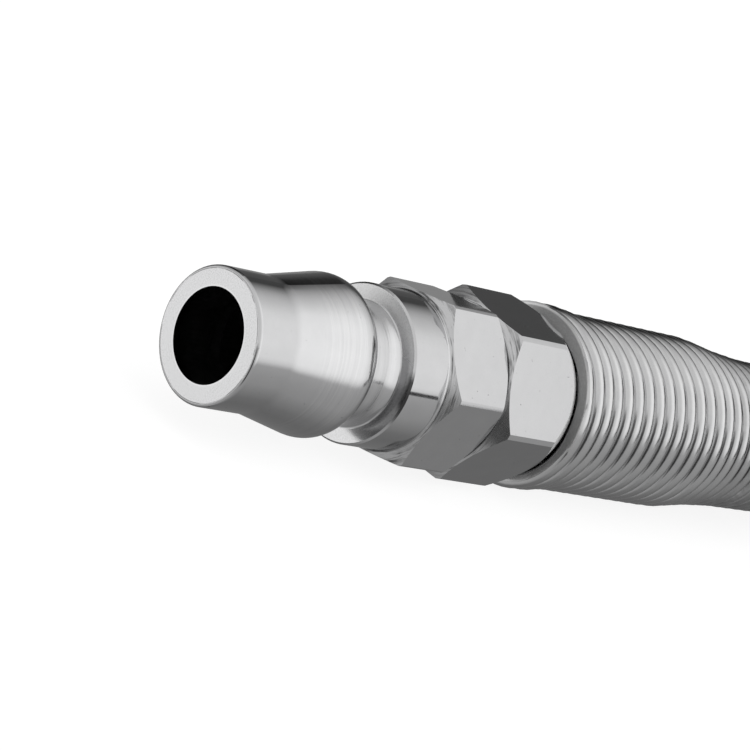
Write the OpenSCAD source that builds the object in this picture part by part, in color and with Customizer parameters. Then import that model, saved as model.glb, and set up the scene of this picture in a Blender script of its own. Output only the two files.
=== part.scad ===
// Spiral air hose: a recoil tube with a push-in quick-coupler plug at each end.
// Each plug is held by a clamping nut and the tube leaves through a wire spring guard.
// Origin: centre of the near plug's mouth. +X out of the mouth, +Z up. Millimetres.

/* [Tube] */
// Outside diameter of the polyurethane tube
tube_d = 10; // [8:0.5:10]
// Inside diameter of the tube
tube_bore_d = 6.5; // [6.5:0.1:7.5]
// Number of turns in the spiral
coil_turns = 11; // [6:1:20]
// Diameter of the spiral, measured at the middle of the tube
coil_mean_d = 80; // [80:1:90]
// Free space between neighbouring turns
turn_gap = 0.6; // [0.4:0.1:3]

/* [Plug nose] */
// Diameter of the air bore
bore_d = 7.5; // [6:0.1:8]
// Diameter of the straight nose
nose_d = 10.85; // [10.5:0.05:11.5]
// Length of the straight nose
nose_length = 5.1; // [3:0.1:6]
// Rounding of the nose's edge
nose_edge_r = 0.3; // [0.1:0.05:0.8]
// Greatest diameter of the locking shoulder
shoulder_d = 13; // [12.6:0.05:13.4]
// Distance from the mouth to the shoulder's greatest diameter
shoulder_at = 11; // [10:0.1:12]
// Rounding in front of the shoulder's crown
crown_front_r = 3; // [2:0.5:8]
// Rounding behind the shoulder's crown
crown_rear_r = 2; // [1.5:0.1:2.5]
// Diameter of the neck where the locking balls sit
neck_d = 10.1; // [9.8:0.1:11.4]
// Rounding between the neck and the collar's face
neck_fillet_r = 0.15; // [0.1:0.05:0.5]

/* [Plug body] */
// Diameter of the round collar
collar_d = 12.95; // [12.8:0.05:13.3]
// Distance from the mouth to the collar's front face
collar_at = 16.2; // [15.5:0.1:17.5]
// Length of the round collar
collar_length = 3.9; // [2:0.1:5]
// Rounding between the collar and the hexagon
collar_fillet_r = 0.3; // [0.2:0.05:0.8]
// Size of the body's hexagon across the flats
body_hex = 13.5; // [13.4:0.1:14]
// Diameter over the turned corners of the body's hexagon
body_hex_corner_d = 15.4; // [15:0.1:15.5]
// Length of the body's hexagon
body_hex_length = 7; // [5:0.1:9]
// Turn of the body's hexagon against the nut's, in degrees
body_hex_turn = -15; // [-30:1:30]
// Diameter of the threaded spigot under the nut
spigot_d = 12.1; // [11.6:0.1:12.2]
// Length of the threaded spigot
spigot_length = 4.5; // [3:0.1:5]
// Diameter of the bore through the barb
barb_bore_d = 4.8; // [4:0.1:5]
// Length of the barb that carries the tube
barb_length = 8.2; // [6:0.1:9]
// Number of ridges on the barb
barb_ridges = 4; // [2:1:5]

/* [Clamping nut] */
// Size of the nut's hexagon across the flats
nut_hex = 14; // [14:0.1:15]
// Diameter over the turned corners of the nut
nut_corner_d = 15.9; // [15.8:0.1:16.2]
// Length of the nut's hexagon
nut_hex_length = 8.95; // [7:0.05:10]
// Diameter of the nut's rear face, where its turned cone ends
nut_rear_d = 12.9; // [12.4:0.1:13.4]
// Length of the sleeve that the spring guard is pushed on
nut_sleeve_length = 5.4; // [3:0.1:7]
// Depth of the nut's thread
nut_thread_depth = 5.6; // [5.2:0.1:6]

/* [Spring guard] */
// Diameter of the guard's wire
wire_d = 1.4; // [1.2:0.1:1.4]
// Distance from one turn to the next
wire_pitch = 1.44; // [1.44:0.02:1.8]
// Number of turns in the guard
guard_turns = 25; // [20:1:28]
// Outside diameter of the flare where the wire begins
flare_d = 15.65; // [15.2:0.05:15.8]
// Outside diameter of the straight turns
guard_d = 15.05; // [15:0.05:15.3]
// Outside diameter where the taper ends
taper_d = 13.35; // [13.2:0.05:13.6]
// Outside diameter of the last turn
guard_end_d = 13.1; // [13:0.05:13.4]
// Turns before the guard starts to taper
straight_turns = 13.6; // [10:0.1:16]
// Turns in the taper
taper_turns = 5.9; // [3:0.1:7]
// Space between the nut and the guard's ground end
guard_gap = 0.1; // [0.1:0.05:0.5]
// How far past the wire's centre the closed end is ground away
ground_depth = 0.3; // [0.1:0.05:0.4]

/* [Clearances] */
// Radial clearance of the thread and of the tube on its barb
fit_clearance = 0.05; // [0.02:0.01:0.1]
// Radial clearance of the spring guard on the nut's sleeve
sleeve_clearance = 0.2; // [0.1:0.05:0.25]
// Radial clearance of the tube in the nut
tube_clearance = 0.15; // [0.1:0.05:0.3]

/* [Hidden] */
$fn = 96;
tube_sides = 10;
wire_sides = 6;
wire_steps = 18;
edge_break = 0.15;

// Axial length of the turned cones on the hexagons' ends for each unit that they rise
body_cones = [0.6, 0.85];
nut_cones = [0.75, 1.65];

// Where the collar's rounding runs tangent into the hexagon's front cone, in degrees about its centre
fillet_end = 90 + atan(body_cones[0]);

// Where a barb ridge has its crest and its foot, as shares of its length, and how far it rises
barb_crest = 0.15;
barb_foot = 0.85;
barb_rise = 0.25;

// Where the guard's wire begins, in degrees from the top, and the turns by which its flare has closed
wire_begin = -120;
flare_turns = 3.2;

// The steeper first part of the guard's taper, as a share of it, and how much wider the guard is there
taper_knee = [0.5, 0.62];

// Wall that joins the spiral's turns in its outer shape, and the room left for the tails
coil_wall = 0.8 * tube_d;
tail_room = [2 * tube_d, coil_mean_d / 2, tube_d + 1];
tail_gap = 0.1;
sink = 0.5;

bore_r = bore_d / 2;
nose_r = nose_d / 2;
shoulder_r = shoulder_d / 2;
neck_r = neck_d / 2;
collar_r = collar_d / 2;
spigot_r = spigot_d / 2;
barb_bore_r = barb_bore_d / 2;
tube_r = tube_d / 2;
wire_r = wire_d / 2;

// Stations along a fitting, measured from its mouth towards the tube
hex_at = collar_at + collar_length;
hex_end = hex_at + body_hex_length;
spigot_end = hex_end + spigot_length;
barb_end = spigot_end + barb_length;
nut_hex_end = hex_end + nut_hex_length;
nut_end = nut_hex_end + nut_sleeve_length;
guard_ground = nut_hex_end + guard_gap;
guard_start = guard_ground - ground_depth;

// The barb fits inside the tube's facets, and its ridges rise from a slimmer stem
barb_r = tube_bore_d / 2 * cos(180 / tube_sides) - fit_clearance;
barb_stem_r = barb_r - barb_rise;

// The sleeve fits inside the guard's straight turns
nut_sleeve_r = guard_d / 2 - wire_d - sleeve_clearance;

// The fittings and the spiral lie on one floor, under the lowest point of the guard's flare
floor_z = -wire_line_r((180 - wire_begin) / 360) - wire_r;
tube_pitch = tube_d + turn_gap;
coil_length = coil_turns * tube_pitch;
coil_mean_r = coil_mean_d / 2;

// Where the spiral begins: its lowest point and its middle line in Y
coil_x = -155;
coil_y = 40;

// Mouth of the far plug, from the spiral's far end
far_mouth = [143.6, 108, 0];

// Route of the near tail: X, Y, and lift from lying on the floor (0) to the plug's axis (1)
near_route = [
    [-32, 0, 1], [-50, 0, 1], [-74, 0, 1], [-84, 0, 0.85], [-95, 0, 0.4], [-105, 0, 0.1],
    [-115, 0, 0], [-125.4, 1.4, 0], [-135, 5.4, 0], [-143.3, 11.7, 0], [-149.6, 20, 0],
    [-153.6, 29.6, 0], [-155, 40, 0]
];

// Route of the far tail, with X from the spiral's far end
far_route = [
    [0, 40, 0], [0, 54, 0], [0, 68, 0], [1.4, 78.4, 0], [5.4, 88, 0], [11.7, 96.3, 0], [20, 102.6, 0],
    [29.6, 106.6, 0], [40, 108, 0], [49, 108, 0.1], [59, 108, 0.5], [69, 108, 1], [90, 108, 1],
    [111.6, 108, 1]
];

plated = [0.80, 0.80, 0.81];
plated_nut = [0.74, 0.74, 0.76];
wire_colour = [0.68, 0.68, 0.70];
tube_colour = [0.22, 0.22, 0.23];

// Turned outline of the plug from its mouth back to its barb, as radius and station
function arc_points(centre, radius, from_angle, to_angle, steps) = [
    for (i = [0 : steps])
        let (a = from_angle + (to_angle - from_angle) * i / steps)
        [centre[0] + radius * cos(a), centre[1] + radius * sin(a)]
];

// The ramp leaves the nose's end and runs tangent into the crown's front rounding
function nose_points() = let (
    crown = [shoulder_r - crown_front_r, shoulder_at],
    reach = [nose_r, nose_length] - crown,
    ramp_angle = atan2(-reach[1], reach[0]) - acos(crown_front_r / norm(reach))
) concat(
    [[bore_r, 0]],
    arc_points([nose_r - nose_edge_r, nose_edge_r], nose_edge_r, -90, 0, 6),
    [[nose_r, nose_length]],
    arc_points(crown, crown_front_r, -ramp_angle, 0, 5)
);

function neck_points() = let (
    crown_rear = arc_points([shoulder_r - crown_rear_r, shoulder_at], crown_rear_r, 4, 45, 8),
    last = crown_rear[len(crown_rear) - 1]
) concat(
    crown_rear,
    [[neck_r, last[1] + last[0] - neck_r]],
    arc_points([neck_r + neck_fillet_r, collar_at - neck_fillet_r], neck_fillet_r, 180, 90, 5)
);

// The collar's rear end rises in a rounding to the hexagon's front cone
function body_hex_front(corner_r) = let (
    rounding = arc_points([collar_r + collar_fillet_r, hex_at], collar_fillet_r, 180, fillet_end, 5),
    last = rounding[len(rounding) - 1]
) concat(rounding, [[corner_r, last[1] + (corner_r - last[0]) * body_cones[0]]]);

function barb_points() = let (ridge = barb_length / barb_ridges) [
    for (i = [0 : barb_ridges - 1])
        for (p = [[barb_r, barb_crest], [barb_stem_r, barb_foot]])
            [p[0], spigot_end + ridge * (i + p[1])]
];

module turned(points) {
    rotate_extrude()
        polygon(points);
}

// A hexagon between two stations whose ends are turned: its front by a line of points, its rear by a cone
module turned_hex(width, corner_r, from, to, front, rear_r, rear_cone, turn) {
    intersection() {
        translate([0, 0, from])
            rotate([0, 0, turn + 30])
                cylinder(h = to - from, r = width / 2 / cos(30), $fn = 6);
        turned(concat(
            [[0, from]], front,
            [[corner_r, to - (corner_r - rear_r) * rear_cone], [rear_r, to], [0, to]]
        ));
    }
}

module air_way() {
    taper = bore_r - barb_bore_r;
    turned([
        [0, -1], [bore_r, -1], [bore_r, spigot_end - taper], [barb_bore_r, spigot_end],
        [barb_bore_r, barb_end + 1], [0, barb_end + 1]
    ]);
}

module plug_body() {
    color(plated)
    difference() {
        union() {
            turned(concat(
                [[0, 0]], nose_points(), neck_points(),
                [[collar_r - edge_break, collar_at], [collar_r, collar_at + edge_break],
                 [collar_r, hex_at + 0.1], [0, hex_at + 0.1]]
            ));
            turned_hex(
                body_hex, body_hex_corner_d / 2, hex_at, hex_end, body_hex_front(body_hex_corner_d / 2),
                body_hex / 2 - edge_break, body_cones[1], body_hex_turn
            );
            turned(concat(
                [[0, hex_end - 0.1], [spigot_r, hex_end - 0.1], [spigot_r, spigot_end - edge_break],
                 [spigot_r - edge_break, spigot_end], [barb_stem_r, spigot_end]],
                barb_points(),
                [[barb_stem_r, barb_end], [0, barb_end]]
            ));
        }
        air_way();
    }
}

module clamp_nut() {
    thread_r = spigot_r + fit_clearance;
    tube_hole_r = tube_r + tube_clearance;
    thread_end = hex_end + nut_thread_depth;
    front_r = nut_hex / 2 - edge_break;
    corner_r = nut_corner_d / 2;
    front = [[front_r, hex_end], [corner_r, hex_end + (corner_r - front_r) * nut_cones[0]]];
    color(plated_nut)
    difference() {
        union() {
            turned_hex(
                nut_hex, corner_r, hex_end, nut_hex_end, front, nut_rear_d / 2, nut_cones[1], 0
            );
            turned([
                [0, nut_hex_end - 0.1], [nut_sleeve_r, nut_hex_end - 0.1],
                [nut_sleeve_r, nut_end], [0, nut_end]
            ]);
        }
        turned([
            [0, hex_end - 1], [thread_r, hex_end - 1], [thread_r, thread_end],
            [tube_hole_r, thread_end + thread_r - tube_hole_r], [tube_hole_r, nut_end + 1],
            [0, nut_end + 1]
        ]);
    }
}

// Radius of the guard's wire centre line after a number of turns
function wire_line_r(turns) = lookup(turns, [
    [0, (flare_d - wire_d) / 2],
    [flare_turns / 2, (flare_d - wire_d) / 2],
    [flare_turns, (guard_d - wire_d) / 2],
    [straight_turns, (guard_d - wire_d) / 2],
    [straight_turns + taper_turns * taper_knee[0], (taper_d + taper_knee[1] - wire_d) / 2],
    [straight_turns + taper_turns, (taper_d - wire_d) / 2],
    [guard_turns, (guard_end_d - wire_d) / 2]
]);

// Close-wound wire, swept as a six-sided section that stays in the plane of the axis. Its first turn is
// ground flat against the nut, and it rises out of that flat as it winds on.
module spring_guard() {
    rings = guard_turns * wire_steps;
    points = [
        for (i = [0 : rings])
            let (turns = i / wire_steps, r = wire_line_r(turns), z = guard_start + wire_pitch * turns)
            for (k = [0 : wire_sides - 1])
                let (
                    a = 360 * k / wire_sides,
                    reach = r + wire_r * cos(a),
                    station = max(z + wire_r * sin(a), guard_ground)
                )
                [reach * cos(360 * turns), reach * sin(360 * turns), station]
    ];
    faces = concat(
        [for (k = [2 : wire_sides - 1]) [1, k, (k + 1) % wire_sides]],
        [
            for (i = [0 : rings - 1], k = [0 : wire_sides - 1])
                let (a = i * wire_sides, b = a + wire_sides, n = (k + 1) % wire_sides)
                each [[a + k, b + k, b + n], [a + k, b + n, a + n]]
        ],
        [[for (k = [0 : wire_sides - 1]) rings * wire_sides + wire_sides - 1 - k]]
    );
    color(wire_colour)
    rotate([0, 0, wire_begin])
        polyhedron(points, faces);
}

// Everything that belongs to one fitting is drawn along +Z from its mouth, then laid along -X
module lay_fitting(mouth) {
    translate(mouth)
        rotate([0, -90, 0])
            children();
}

// Route point to a point in space, with the tube resting on the floor at lift 0
function on_route(p, shift) = [p[0] + shift, p[1], (floor_z + tube_r) * (1 - p[2])];

function route_direction(route, i) = let (
    a = route[max(i - 1, 0)],
    b = route[min(i + 1, len(route) - 1)]
) (b - a) / norm(b - a);

// One hollow tube along a route: an outer and an inner skin and two ring-shaped ends
module tube_along(route) {
    n = tube_sides;
    last = len(route) - 1;
    skins = [tube_r, tube_bore_d / 2];
    points = [
        for (i = [0 : last])
            let (
                forward = route_direction(route, i),
                side = cross(forward, [0, 0, 1]) / norm(cross(forward, [0, 0, 1])),
                up = cross(side, forward)
            )
            for (r = skins, k = [0 : n - 1])
                route[i] + r * (side * sin(360 * k / n) - up * cos(360 * k / n))
    ];
    walls = [
        for (i = [0 : last - 1], k = [0 : n - 1])
            let (a = i * 2 * n, b = a + 2 * n, m = (k + 1) % n)
            each [
                [a + k, b + k, b + m], [a + k, b + m, a + m],
                [a + n + k, b + n + m, b + n + k], [a + n + k, a + n + m, b + n + m]
            ]
    ];
    ends = [
        for (k = [0 : n - 1])
            let (z = last * 2 * n, m = (k + 1) % n)
            each [
                [k, m, n + m], [k, n + m, n + k],
                [z + k, z + n + m, z + m], [z + k, z + n + k, z + n + m]
            ]
    ];
    color(tube_colour)
        polyhedron(points, concat(walls, ends));
}

module hose_tail() {
    tube_along([for (p = near_route) on_route(p, 0)]);
}

module far_hose_tail() {
    tube_along([for (p = far_route) on_route(p, coil_x - coil_length)]);
}

// The spiral's outer shape: one ring for each turn on a common wall, open along its axis
module hose_coil() {
    color(tube_colour)
    difference() {
        translate([coil_x, coil_y, floor_z + coil_mean_r + tube_r])
            rotate([0, -90, 0])
                rotate_extrude() {
                    for (i = [0 : coil_turns - 1])
                        translate([coil_mean_r, (i + 0.5) * tube_pitch])
                            circle(r = tube_r, $fn = 48);
                    translate([coil_mean_r - coil_wall / 2, tube_pitch / 2])
                        square([coil_wall, coil_length - tube_pitch]);
                }
        translate([coil_x - tube_r - tail_gap, coil_y - tail_room[1], floor_z - sink])
            cube(tail_room);
        translate([coil_x - coil_length + tube_r + tail_gap - tail_room[0], coil_y, floor_z - sink])
            cube(tail_room);
    }
}

far_plug_mouth = [coil_x - coil_length + far_mouth[0], far_mouth[1], far_mouth[2]];

lay_fitting([0, 0, 0]) plug_body();
lay_fitting([0, 0, 0]) clamp_nut();
lay_fitting([0, 0, 0]) spring_guard();
hose_tail();
hose_coil();
far_hose_tail();
lay_fitting(far_plug_mouth) spring_guard();  // far_spring_guard
lay_fitting(far_plug_mouth) clamp_nut();  // far_clamp_nut
lay_fitting(far_plug_mouth) plug_body();  // far_plug_body
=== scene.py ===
import math

import bpy
from mathutils import Matrix, Vector


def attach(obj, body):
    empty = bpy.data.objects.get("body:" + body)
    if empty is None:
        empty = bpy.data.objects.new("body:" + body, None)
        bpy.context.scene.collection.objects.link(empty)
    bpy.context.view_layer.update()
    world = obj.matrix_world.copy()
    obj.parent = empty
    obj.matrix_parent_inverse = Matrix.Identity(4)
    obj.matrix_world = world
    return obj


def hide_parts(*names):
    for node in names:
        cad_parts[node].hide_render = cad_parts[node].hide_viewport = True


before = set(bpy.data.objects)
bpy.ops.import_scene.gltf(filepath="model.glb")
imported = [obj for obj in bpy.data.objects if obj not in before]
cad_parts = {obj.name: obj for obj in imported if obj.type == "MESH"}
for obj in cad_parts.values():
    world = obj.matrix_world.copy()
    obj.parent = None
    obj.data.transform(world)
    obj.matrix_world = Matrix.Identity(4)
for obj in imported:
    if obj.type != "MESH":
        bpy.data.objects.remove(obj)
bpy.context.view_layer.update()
scene = bpy.context.scene
scene.view_settings.view_transform = "Standard"

# Lengths and places are in millimetres until they are multiplied by MM. A fitting's stations count from its
# mouth along its axis, towards -X.
MM = 0.001
NEAR_MOUTH = Vector((0, 0, 0))


# Camera, fitted in perspective to the circles and hexagons of the photo.
CAMERA_PLACE = Vector((172.500, 158.878, 78.244))
CAMERA_RIGHT = Vector((-0.667688, 0.564428, 0.485401))
CAMERA_UP = Vector((0.124671, -0.558046, 0.820391))
CAMERA_BACK = Vector((0.733928, 0.608281, 0.302233))
camera = bpy.data.objects.new("camera", bpy.data.cameras.new("camera"))
scene.collection.objects.link(camera)
camera.data.sensor_width = 36
camera.data.lens = 158.4
camera.data.clip_start = 0.01
camera.data.clip_end = 50
camera_turn = Matrix((CAMERA_RIGHT, CAMERA_UP, CAMERA_BACK)).transposed().to_4x4()
camera.matrix_world = Matrix.Translation(CAMERA_PLACE * MM) @ camera_turn
scene.camera = camera


# Hose: one tube from the near barb through the spiral to the far barb, on the route of part.scad.
TUBE_D = 10.0
FLOOR_Z = -7.825
COIL_X = -155.0
COIL_Y = 40.0
COIL_R = 40.0
COIL_TURNS = 11
COIL_PITCH = 10.6
COIL_STEPS = 24
COIL_END = COIL_X - COIL_TURNS * COIL_PITCH
COIL_Z = FLOOR_Z + TUBE_D / 2 + COIL_R
# The far mouth lies beside the spiral. FAR_REACH counts along X from the spiral's end.
FAR_REACH = 143.6
FAR_SIDE = 108.0
FAR_MOUTH = Vector((COIL_END + FAR_REACH, FAR_SIDE, 0.0))

# Route points are x, y and lift. In FAR_ROUTE, x counts from the spiral's end.
NEAR_ROUTE = [
    (-32, 0, 1), (-50, 0, 1), (-74, 0, 1), (-84, 0, 0.85), (-95, 0, 0.4), (-105, 0, 0.1),
    (-115, 0, 0), (-125.4, 1.4, 0), (-135, 5.4, 0), (-143.3, 11.7, 0), (-149.6, 20, 0),
    (-153.6, 29.6, 0), (-155, 40, 0),
]
FAR_ROUTE = [
    (0, 40, 0), (0, 54, 0), (0, 68, 0), (1.4, 78.4, 0), (5.4, 88, 0), (11.7, 96.3, 0), (20, 102.6, 0),
    (29.6, 106.6, 0), (40, 108, 0), (49, 108, 0.1), (59, 108, 0.5), (69, 108, 1), (90, 108, 1),
    (111.6, 108, 1),
]


def on_route(x, y, lift):
    """A route point, with lift 0 where the tube lies on the floor and 1 on the plug's axis."""
    return Vector((x, y, (FLOOR_Z + TUBE_D / 2) * (1 - lift)))


def coil_point(turns):
    """A point of the spiral, which starts at its lowest place."""
    a = 2 * math.pi * turns
    return Vector(
        (COIL_X - COIL_PITCH * turns, COIL_Y + COIL_R * math.sin(a), COIL_Z - COIL_R * math.cos(a))
    )


hose_line = [on_route(*p) for p in NEAR_ROUTE]
hose_line += [coil_point(i / COIL_STEPS) for i in range(1, COIL_TURNS * COIL_STEPS)]
hose_line += [on_route(x + COIL_END, y, lift) for x, y, lift in FAR_ROUTE]

hose_curve = bpy.data.curves.new("hose", "CURVE")
hose_curve.dimensions = "3D"
hose_curve.bevel_depth = 1
hose_curve.bevel_resolution = 8
hose_curve.resolution_u = 4
hose_curve.use_fill_caps = True
spline = hose_curve.splines.new("BEZIER")
spline.bezier_points.add(len(hose_line) - 1)
for point, place in zip(spline.bezier_points, hose_line):
    point.co = place * MM
    point.radius = TUBE_D / 2 * MM
    point.handle_left_type = point.handle_right_type = "AUTO"
hose = bpy.data.objects.new("hose", hose_curve)
scene.collection.objects.link(hose)
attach(hose, "root")
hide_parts("hose_tail", "hose_coil", "far_hose_tail")


# Spring guards: one round wire each, as in part.scad, with smoother sides than the solid has.
GUARD_START = 35.85
GUARD_GROUND = 36.15
WIRE_BEGIN = math.radians(-120)
WIRE_D = 1.4
WIRE_PITCH = 1.44
GUARD_TURNS = 25
GUARD_STEPS = 60
WIRE_SIDES = 16
# Degrees from the wire's end, and the share of its radius that it has there.
WIRE_TIP = [(0.0, 0.55), (0.5, 0.8), (1.2, 0.94), (2.0, 1.0)]
# Turns from the start, and the radius of the wire's middle.
GUARD_RADII = [
    (0, 7.125), (1.6, 7.125), (3.2, 6.825), (13.6, 6.825), (16.55, 6.285), (19.5, 5.975), (25, 5.85),
]


def wire_line_r(turns):
    """Radius of the guard's wire line after a number of turns."""
    for (t0, r0), (t1, r1) in zip(GUARD_RADII, GUARD_RADII[1:]):
        if turns <= t1:
            return r0 + (r1 - r0) * (turns - t0) / (t1 - t0)
    return GUARD_RADII[-1][1]


def wire_outline(station, radius):
    """Points round the wire, each as its distance across from the wire's middle and its station.

    What would lie before the guard's ground face is flat on that face.
    """
    depth = max(-1.0, min(0.99, (GUARD_GROUND - station) / radius))
    edge = math.asin(depth)
    outline = []
    for k in range(WIRE_SIDES):
        b = 2 * math.pi * k / WIRE_SIDES
        if math.sin(b) >= depth:
            outline.append((radius * math.cos(b), station + radius * math.sin(b)))
        else:
            if b < math.pi - edge:
                b += 2 * math.pi
            share = (b - math.pi + edge) / (math.pi + 2 * edge)
            outline.append((radius * math.cos(edge) * (2 * share - 1), GUARD_GROUND))
    return outline


def spring_guard(name, mouth, node):
    """The guard of the fitting whose mouth is given, in place of a CAD node."""
    stations = [(turns / 360, scale) for turns, scale in WIRE_TIP]
    stations += [(i / GUARD_STEPS, 1.0) for i in range(3, GUARD_TURNS * GUARD_STEPS - 2)]
    stations += [(GUARD_TURNS - turns / 360, scale) for turns, scale in reversed(WIRE_TIP)]
    verts, faces = [], []
    for turns, scale in stations:
        r = wire_line_r(turns)
        a = 2 * math.pi * turns + WIRE_BEGIN
        for across, z in wire_outline(GUARD_START + WIRE_PITCH * turns, WIRE_D / 2 * scale):
            place = Vector((-z, (r + across) * math.sin(a), (r + across) * math.cos(a)))
            verts.append((mouth + place) * MM)
    count = len(stations)
    for i in range(count - 1):
        for k in range(WIRE_SIDES):
            m = (k + 1) % WIRE_SIDES
            a, b = i * WIRE_SIDES, (i + 1) * WIRE_SIDES
            faces.append((a + k, a + m, b + m, b + k))
    faces.append(tuple(reversed(range(WIRE_SIDES))))
    faces.append(tuple((count - 1) * WIRE_SIDES + k for k in range(WIRE_SIDES)))
    mesh = bpy.data.meshes.new(name)
    mesh.from_pydata(verts, [], faces)
    mesh.shade_smooth()
    mesh.set_sharp_from_angle(angle=math.radians(40))
    piece = bpy.data.objects.new(name, mesh)
    scene.collection.objects.link(piece)
    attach(piece, "root")
    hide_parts(node)
    return piece


near_guard = spring_guard("guard_wire_near", NEAR_MOUTH, "spring_guard")
far_guard = spring_guard("guard_wire_far", FAR_MOUTH, "far_spring_guard")


# Node helpers. A tree is a material's or the world's node tree, and a value is a number or a socket.
def add(tree, kind, inputs=None, **settings):
    made = tree.nodes.new(kind)
    for key, value in settings.items():
        setattr(made, key, value)
    for key, value in (inputs or {}).items():
        if isinstance(value, bpy.types.NodeSocket):
            tree.links.new(value, made.inputs[key])
        else:
            made.inputs[key].default_value = value
    return made


def math_of(tree, operation, a, b=0.0, c=0.0):
    return add(tree, "ShaderNodeMath", {0: a, 1: b, 2: c}, operation=operation).outputs[0]


def times(tree, a, b):
    return math_of(tree, "MULTIPLY", a, b)


def raised(tree, value, mask, amount):
    """A value plus an amount where the mask is 1."""
    return math_of(tree, "MULTIPLY_ADD", mask, amount, value)


def shaded(tree, value, mask, amount):
    """A value that loses this share of itself where the mask is 1."""
    return times(tree, value, math_of(tree, "MULTIPLY_ADD", mask, -amount, 1.0))


def between(tree, share, a, b):
    """The number that lies a share of the way from a to b."""
    return add(tree, "ShaderNodeMix", {0: share, 2: a, 3: b}, data_type="FLOAT").outputs[0]


def parts_of(tree, vector):
    return add(tree, "ShaderNodeSeparateXYZ", {0: vector}).outputs


def noise(tree, place, scale, detail=2.0, rough=0.5, stretch=(1, 1, 1)):
    mapped = add(tree, "ShaderNodeMapping", {"Vector": place, "Scale": stretch})
    return add(
        tree,
        "ShaderNodeTexNoise",
        {"Vector": mapped.outputs[0], "Scale": scale, "Detail": detail, "Roughness": rough},
    ).outputs["Fac"]


def ramp(tree, value, low, high, to_low=0.0, to_high=1.0):
    """A number that follows a value from low to high and stays the same outside."""
    return add(
        tree,
        "ShaderNodeMapRange",
        {"Value": value, "From Min": low, "From Max": high, "To Min": to_low, "To Max": to_high},
        clamp=True,
    ).outputs[0]


def curved(tree, value, low, high):
    """As ramp, but it starts level and grows steeper."""
    return math_of(tree, "POWER", ramp(tree, value, low, high), 2.0)


def band(tree, value, low, high, soft):
    """1 between two values, with soft edges."""
    rise = ramp(tree, value, low - soft, low + soft)
    return times(tree, rise, ramp(tree, value, high - soft, high + soft, 1.0, 0.0))


def stops(tree, value, points):
    """A line through points of value and grey."""
    made = add(tree, "ShaderNodeValToRGB", {0: value})
    line = made.color_ramp.elements
    while len(line) < len(points):
        line.new(0.5)
    for stop, (at, grey) in zip(line, points):
        stop.position = at
        stop.color = (grey, grey, grey, 1)
    return made.outputs[0]


def mix_colour(tree, factor, a, b):
    ends = [(*end, 1) if isinstance(end, tuple) else end for end in (a, b)]
    mix = add(tree, "ShaderNodeMix", {0: factor, 6: ends[0], 7: ends[1]}, data_type="RGBA")
    return mix.outputs[2]


def tinted(tree, colour, mask, share, grey):
    """A colour that goes a share of the way to a grey where the mask is 1."""
    return mix_colour(tree, times(tree, mask, share), colour, (grey, grey, grey))


def start_material(name, mouth=NEAR_MOUTH):
    """A new material, its shader, and the place on the object measured from a fitting's mouth in metres."""
    material = bpy.data.materials.new(name)
    material.use_nodes = True
    tree = material.node_tree
    place = add(tree, "ShaderNodeTexCoord").outputs["Object"]
    from_mouth = {0: place, 1: tuple(v * MM for v in mouth)}
    moved = add(tree, "ShaderNodeVectorMath", from_mouth, operation="SUBTRACT")
    return material, tree, tree.nodes["Principled BSDF"], moved.outputs[0]


def finish_surface(tree, shader, colour, gloss, height, strength, distance):
    """Links colour, roughness and a bump of a height, whose unit is the distance in metres."""
    tree.links.new(colour, shader.inputs["Base Color"])
    tree.links.new(gloss, shader.inputs["Roughness"])
    bump = add(tree, "ShaderNodeBump", {"Strength": strength, "Distance": distance, "Height": height})
    tree.links.new(bump.outputs[0], shader.inputs["Normal"])


def fitting_place(tree, place):
    """Millimetres along a fitting from its mouth, and from its axis."""
    x, y, z = parts_of(tree, place)
    across = math_of(tree, "SQRT", math_of(tree, "MULTIPLY_ADD", z, z, times(tree, y, y)))
    return times(tree, x, -1 / MM), times(tree, across, 1 / MM)


def facing(tree):
    """How far a face looks along the fittings' axis: 1 on end faces, 0 on cylinders and flats."""
    normal = add(tree, "ShaderNodeNewGeometry").outputs["True Normal"]
    return math_of(tree, "ABSOLUTE", parts_of(tree, normal)[0])


# Places on a fitting by station, and the bore by its radius.
NOSE_END = 5.1
SHOULDER = (11.4, 13.6)
COLLAR_FACE = 16.2
REAR_CONE = (33.0, 36.2)
BORE_R = 3.75
MICROMETRE = 0.001 * MM


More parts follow.
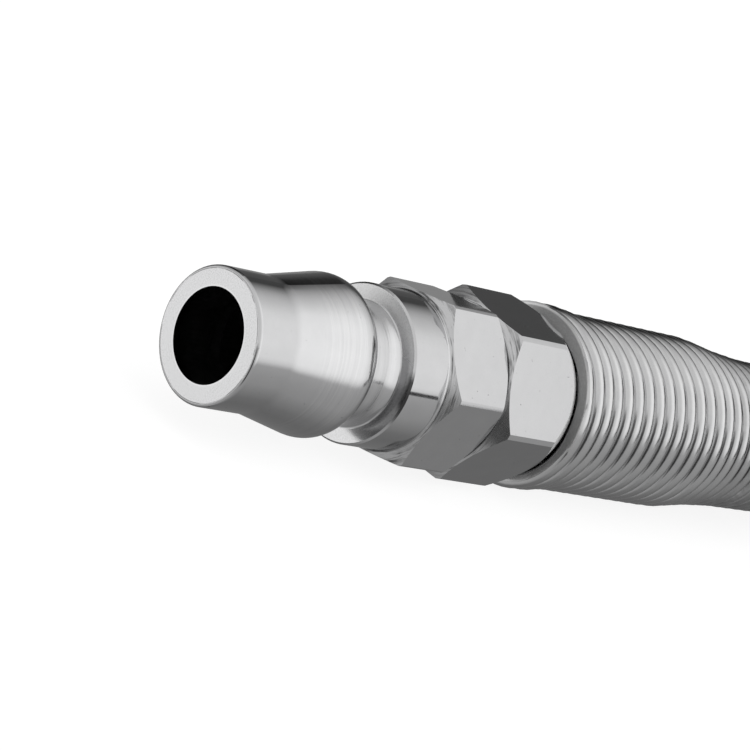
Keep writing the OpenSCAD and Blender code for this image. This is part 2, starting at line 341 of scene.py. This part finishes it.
def plated(name, mouth, tone, rough, turned, cones, rubbing):
    """Bright plate: smooth flats, tool marks where a lathe cut them, scratched cones and grainy end faces,
    with painted light: a painted highlight on the top of the collar's face, a painted dark reflection line
    round the nose's end face, painted light on the nut's rear cone and painted shade in the bore.

    turned and cones are two stations each, and rubbing is how dark the scratches on the cones are.
    """
    material, tree, shader, place = start_material(name, mouth)
    along, across = fitting_place(tree, place)
    tilt = facing(tree)
    high = parts_of(tree, place)[2]

    rings = noise(tree, place, 1.0, 3.0, 0.6, (6500, 90, 90))
    scratch = noise(tree, place, 1.0, 3.0, 0.7, (7500, 260, 260))
    wave = noise(tree, place, 260.0, 2.0, 0.5)
    patches = noise(tree, place, 420.0, 3.0, 0.6)
    stain = noise(tree, place, 650.0, 4.0, 0.6)
    pits = noise(tree, place, 2600.0, 2.0, 0.6)
    grain = noise(tree, place, 9000.0, 3.0, 0.7)

    slopes = band(tree, tilt, 0.35, 0.95, 0.04)
    ends = ramp(tree, tilt, 0.93, 0.97)
    on_turned = band(tree, along, *turned, 0.6)
    on_shoulder = band(tree, along, *SHOULDER, 0.3)
    on_cone = times(tree, slopes, band(tree, along, *cones, 0.02))
    on_rear_cone = times(tree, slopes, ramp(tree, along, REAR_CONE[0], REAR_CONE[0] + 0.2))
    on_face = times(tree, ends, ramp(tree, across, 3.8, 3.9))
    # Painted highlight: the upper part of the collar's front face is marked out here.
    painted_collar_highlight = times(tree, ends, ramp(tree, high, 2.5 * MM, 4.5 * MM))
    painted_collar_highlight = times(tree, painted_collar_highlight, band(tree, along, 14.0, 18.0, 0.5))
    in_bore = times(tree, ramp(tree, across, BORE_R + 0.01, BORE_R - 0.03), ramp(tree, along, 0.05, 2.0))
    streaks = times(tree, on_turned, ramp(tree, rings, 0.42, 0.62))
    # Painted reflection: a broken dark line round the outer edge of the nose's end face.
    painted_edge_line = times(tree, band(tree, across, 5.1, 5.16, 0.02), ramp(tree, along, 0.3, 0.2))
    painted_edge_line = times(tree, painted_edge_line, ramp(tree, patches, 0.42, 0.5))
    worn = times(tree, on_cone, ramp(tree, patches, 0.38, 0.6, 0.25, 1.0))
    lines = times(tree, worn, ramp(tree, scratch, 0.47, 0.58))
    specks = times(tree, on_face, ramp(tree, grain, 0.45, 0.75))

    light_tone = tuple(min(1.0, v * 1.05) for v in tone)
    colour = mix_colour(tree, ramp(tree, stain, 0.3, 0.75), tone, light_tone)
    colour = tinted(tree, colour, lines, rubbing, 0.05)
    colour = tinted(tree, colour, ramp(tree, pits, 0.72, 0.76), 0.5, 0.1)
    colour = tinted(tree, colour, streaks, 0.25, 0.72)
    # Painted highlight: the top of the collar's face goes most of the way to light grey.
    colour = tinted(tree, colour, painted_collar_highlight, 0.7, 0.85)
    colour = tinted(tree, colour, specks, 0.35, 0.2)
    # Painted reflection: the dark line at the nose's outer edge.
    colour = tinted(tree, colour, painted_edge_line, 0.7, 0.05)
    # Painted light: the nut's rear cone is made much lighter than the rest of the plate.
    colour = tinted(tree, colour, on_rear_cone, 0.8, 0.9)
    # Painted shade: the bore is darkened almost to black.
    colour = tinted(tree, colour, in_bore, 0.93, 0.014)

    gloss = math_of(tree, "MULTIPLY_ADD", ramp(tree, stain, 0.45, 0.75), 0.03, rough)
    gloss = raised(tree, gloss, on_turned, 0.03)
    gloss = raised(tree, gloss, painted_collar_highlight, 0.34)
    gloss = raised(tree, gloss, on_face, ramp(tree, along, 8.0, 9.0, 0.16, 0.05))
    gloss = raised(tree, gloss, on_cone, 0.14)
    gloss = raised(tree, gloss, on_rear_cone, 0.3)
    gloss = raised(tree, gloss, on_shoulder, 0.1)
    gloss = raised(tree, gloss, lines, 0.12)
    gloss = raised(tree, gloss, in_bore, 0.4)

    # Micrometres. The ends of nose and neck rise in soft curves, and the nut's rear cone looks less far back.
    height = times(tree, times(tree, rings, on_turned), 8.0)
    height = raised(tree, height, curved(tree, along, NOSE_END - 1.2, NOSE_END), 130.0)
    height = raised(tree, height, curved(tree, along, COLLAR_FACE - 1.6, COLLAR_FACE), 360.0)
    height = raised(tree, height, times(tree, on_rear_cone, ramp(tree, along, *REAR_CONE)), 1500.0)
    height = raised(tree, height, wave, 2.0)
    height = raised(tree, height, grain, 0.05)
    height = raised(tree, height, times(tree, grain, on_face), 0.25)
    height = raised(tree, height, times(tree, scratch, on_cone), 6.0)

    shader.inputs["Metallic"].default_value = 1.0
    finish_surface(tree, shader, colour, gloss, height, 1.0, MICROMETRE)
    return material


def bright_wire(name, mouth):
    """Drawn spring wire under plate: fine lines along the wire, dull spots from winding, a ground end, and
    painted shade in patches on the wire's inner side and on the inner part of the ground end.
    """
    material, tree, shader, place = start_material(name, mouth)
    along, across = fitting_place(tree, place)
    drawn = noise(tree, place, 1.0, 2.0, 0.6, (9000, 500, 500))
    stain = noise(tree, place, 700.0, 4.0, 0.65)
    grain = noise(tree, place, 7000.0, 3.0, 0.7)

    on_ground = times(tree, ramp(tree, facing(tree), 0.97, 0.99), ramp(tree, along, 36.3, 36.2))
    # Painted shade: the wire goes darker, in patches, on its inner side, between its turns and along the
    # guard's narrow end.
    patchy_inner_shade = times(tree, ramp(tree, across, 7.2, 6.5), ramp(tree, stain, 0.3, 0.55))
    # The ground end face is lighter ground steel outside, with painted shade on its inner part next to the
    # nut.
    ground = mix_colour(tree, ramp(tree, across, 7.46, 7.58), (0.25, 0.25, 0.25), (0.7, 0.7, 0.7))
    ground = mix_colour(tree, ramp(tree, grain, 0.4, 0.75, 0.0, 0.5), ground, (0.5, 0.5, 0.5))

    colour = mix_colour(tree, ramp(tree, stain, 0.3, 0.75), (0.55, 0.55, 0.555), (0.60, 0.60, 0.60))
    colour = tinted(tree, colour, patchy_inner_shade, 0.35, 0.05)
    colour = mix_colour(tree, times(tree, on_ground, 0.9), colour, ground)
    gloss = math_of(tree, "MULTIPLY_ADD", ramp(tree, stain, 0.4, 0.75), 0.05, 0.16)
    gloss = raised(tree, gloss, on_ground, 0.22)
    height = raised(tree, drawn, times(tree, grain, on_ground), 0.5)

    shader.inputs["Metallic"].default_value = 1.0
    finish_surface(tree, shader, colour, gloss, height, 1.0, 0.6 * MICROMETRE)
    return material


def tube_plastic(name):
    """Smooth polyurethane with faint extrusion waves and handling marks."""
    material, tree, shader, place = start_material(name)
    wave = noise(tree, place, 320.0, 2.0, 0.4)
    scuff = noise(tree, place, 1500.0, 4.0, 0.7)
    colour = mix_colour(tree, wave, (0.036, 0.036, 0.038), (0.048, 0.048, 0.05))
    gloss = math_of(tree, "MULTIPLY_ADD", ramp(tree, scuff, 0.45, 0.7), 0.22, 0.2)
    shader.inputs["IOR"].default_value = 1.5
    shader.inputs["Coat Weight"].default_value = 0.3
    shader.inputs["Coat Roughness"].default_value = 0.08
    finish_surface(tree, shader, colour, gloss, wave, 0.5, 30 * MICROMETRE)
    return material


def dress(piece, material):
    if piece.material_slots:
        for each in piece.material_slots:
            each.material = material
    else:
        piece.data.materials.append(material)


BODY_LOOK = {
    "tone": (0.56, 0.56, 0.565), "rough": 0.08, "turned": (7.0, 15.5), "cones": (20.2, 27.2), "rubbing": 0.85,
}
NUT_LOOK = {
    "tone": (0.55, 0.55, 0.555), "rough": 0.08, "turned": (38.0, 40.0), "cones": (27.0, 36.1), "rubbing": 0.7,
}
for end, mouth, guard in (("", NEAR_MOUTH, near_guard), ("far_", FAR_MOUTH, far_guard)):
    dress(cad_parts[end + "plug_body"], plated(end + "plated_body", mouth, **BODY_LOOK))
    dress(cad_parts[end + "clamp_nut"], plated(end + "plated_nut", mouth, **NUT_LOOK))
    dress(guard, bright_wire(end + "guard_wire", mouth))
dress(hose, tube_plastic("tube"))


# Floor: pale paper, 12 m across, lit so evenly that the part leaves only a faint shadow on it. The metal
# doesn't mirror it, because the world's light holds the lower half too.
floor_mesh = bpy.data.meshes.new("floor")
floor_mesh.from_pydata([(-6, -6, 0), (6, -6, 0), (6, 6, 0), (-6, 6, 0)], [], [(0, 1, 2, 3)])
floor = bpy.data.objects.new("floor", floor_mesh)
scene.collection.objects.link(floor)
floor.location.z = FLOOR_Z * MM
floor.visible_glossy = False
floor_paint = bpy.data.materials.new("floor")
floor_paint.use_nodes = True
tree = floor_paint.node_tree
tree.nodes.clear()
paper = add(tree, "ShaderNodeBsdfDiffuse", {"Color": (0.95, 0.95, 0.95, 1)})
glow = add(tree, "ShaderNodeEmission", {"Color": (1, 1, 1, 1), "Strength": 1.15})
both = add(tree, "ShaderNodeMixShader", {0: 0.75, 1: paper.outputs[0], 2: glow.outputs[0]})
add(tree, "ShaderNodeOutputMaterial", {"Surface": both.outputs[0]})
floor_mesh.materials.append(floor_paint)


# The studio that the metal mirrors, by direction. A point of the two lights is the angle about X as a share
# of a turn, from straight down by way of -Y, up and +Y, and the light there. BACK_LIGHT is for directions
# away from the mouth's end: broad and bright above the +Y side, dim below it, dark at -Y. FRONT_LIGHT is for
# directions towards that end: even, with a lamp low on the -Y side. SIDE_GAIN changes the bright part of
# BACK_LIGHT along X: its points are half of the direction's x plus a half, and half of the gain.
BACK_LIGHT = [
    (0.0, 0.17), (0.12, 0.17), (0.17, 0.22), (0.235, 0.24), (0.26, 0.1), (0.355, 0.06), (0.385, 0.26),
    (0.415, 0.48), (0.44, 0.6), (0.48, 0.74), (0.52, 0.88), (0.56, 0.94), (0.66, 0.97), (0.725, 0.92),
    (0.745, 0.78), (0.765, 0.45), (0.81, 0.39), (0.86, 0.35), (0.9, 0.28), (0.95, 0.2), (1.0, 0.17),
]
FRONT_LIGHT = [
    (0.0, 0.32), (0.11, 0.4), (0.16, 0.84), (0.195, 0.94), (0.235, 0.56), (0.33, 0.38), (0.375, 0.56),
    (0.61, 0.6), (0.73, 0.58), (0.77, 0.32), (0.82, 0.3), (0.89, 0.28), (1.0, 0.32),
]
FRONT_GAIN = 1.3
SIDE_GAIN = [
    (0.0, 0.35), (0.05, 0.45), (0.12, 0.5), (0.23, 0.6), (0.31, 0.6), (0.42, 0.56), (0.6, 0.45), (1.0, 0.45),
]
LEVEL = 1.15
GAP_SHADE = 0.8
STAND_SHADE = 0.88

world = bpy.data.worlds.new("studio")
scene.world = world
world.use_nodes = True
tree = world.node_tree
tree.nodes.clear()
way_x, way_y, way_z = parts_of(tree, add(tree, "ShaderNodeTexCoord").outputs["Generated"])
around = math_of(tree, "MULTIPLY_ADD", math_of(tree, "ARCTAN2", way_y, way_z), 1 / (2 * math.pi), 0.5)

back_light = stops(tree, around, BACK_LIGHT)
half_gain = stops(tree, math_of(tree, "MULTIPLY_ADD", way_x, 0.5, 0.5), SIDE_GAIN)
gain = between(tree, ramp(tree, back_light, 0.5, 0.85), 1.0, times(tree, half_gain, 2.0))
# The dark side is darker still in directions that don't point far back.
dark_gap = times(tree, ramp(tree, way_x, -0.66, -0.56), band(tree, around, 0.3, 0.375, 0.02))
back_light = times(tree, back_light, shaded(tree, gain, dark_gap, GAP_SHADE))

# A dark stand beside the camera shows in the gaps of the guard and on the collar's face.
front_light = times(tree, stops(tree, around, FRONT_LIGHT), FRONT_GAIN)
stand = times(tree, band(tree, way_x, 0.52, 0.9, 0.06), band(tree, around, 0.685, 0.88, 0.02))
front_light = shaded(tree, front_light, stand, STAND_SHADE)

light = times(tree, between(tree, ramp(tree, way_x, 0.0, 0.4), back_light, front_light), LEVEL)
seen = add(tree, "ShaderNodeLightPath").outputs["Is Camera Ray"]
light = between(tree, seen, light, 1.0)
sky = add(tree, "ShaderNodeBackground", {"Color": (1, 1, 1, 1), "Strength": light})
add(tree, "ShaderNodeOutputWorld", {"Surface": sky.outputs[0]})

bpy.context.view_layer.update()
